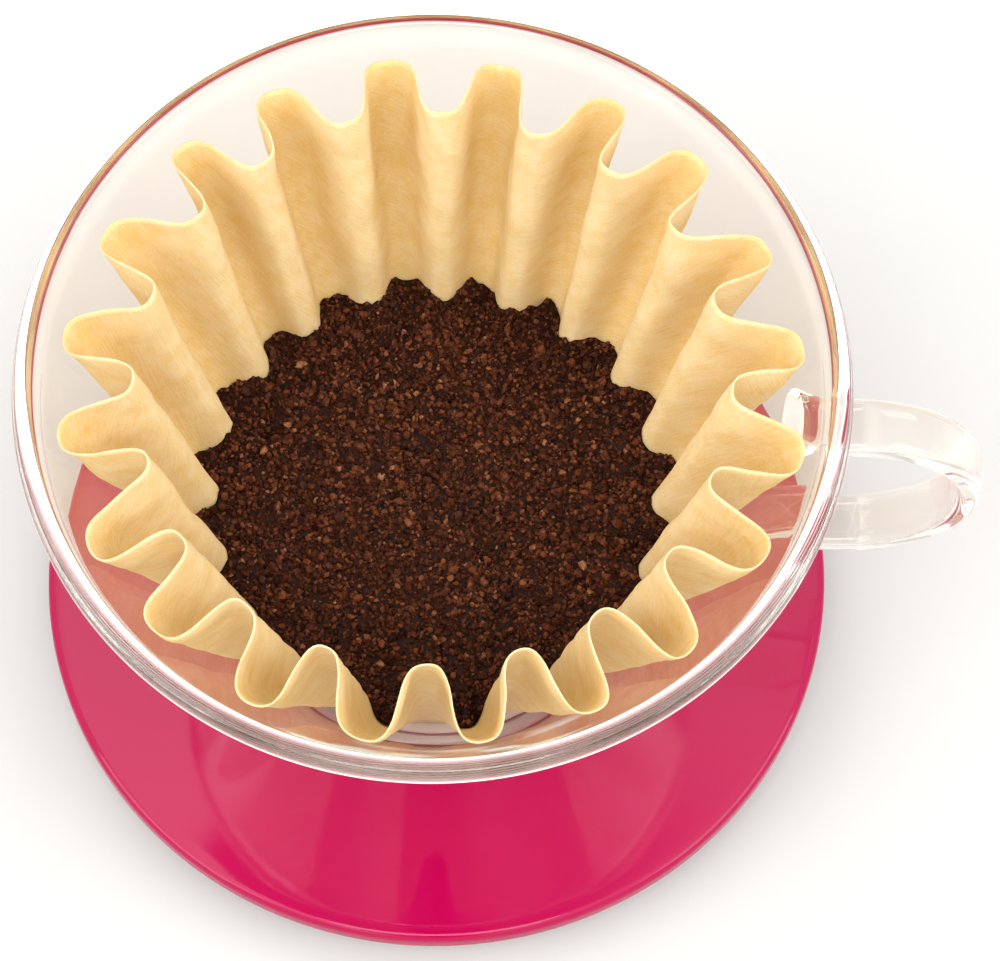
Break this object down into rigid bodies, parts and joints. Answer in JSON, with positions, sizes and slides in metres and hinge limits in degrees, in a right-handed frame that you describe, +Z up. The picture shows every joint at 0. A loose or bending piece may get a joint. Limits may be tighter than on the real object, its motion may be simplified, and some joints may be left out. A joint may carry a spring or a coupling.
{
  "type": "pour over coffee dripper",
  "caption": "Glass pour-over coffee cone with a strap handle on a moulded saucer base, holding a pleated paper filter with ground coffee.",
  "frame": {"origin": "on the cone's axis at the lower edge of the locating skirt, which is the surface the dripper stands on", "axes": "+Z up along the cone's axis, +X from the axis towards the handle, +Y away from the picture's viewer"},
  "size_m": [0.1354, 0.116, 0.08],
  "materials": {
    "clear_glass": "polished",
    "pink_plastic": "gloss",
    "clear_silicone": "satin",
    "filter_paper": "matte",
    "ground_coffee": "matte"
  },
  "bodies": {
    "dripper": {"glass_body": "clear_glass", "glass_handle": "clear_glass", "saucer_base": "pink_plastic", "seat_gasket": "clear_silicone"},
    "twist_ring": {"lock_ring": "pink_plastic"},
    "loaded_filter": {"paper_filter": "filter_paper", "coffee_grounds": "ground_coffee"}
  },
  "joints": [
    {"name": "ring_twist", "type": "hinge", "parent": "dripper", "child": "twist_ring", "pos_m": [0, 0, 0.0036], "axis": [0, 0, 1], "range_deg": [0, 60]},
    {"name": "filter_lift", "type": "slide", "parent": "dripper", "child": "loaded_filter", "axis": [0, 0, 1], "range_m": [0, 0.085]}
  ]
}
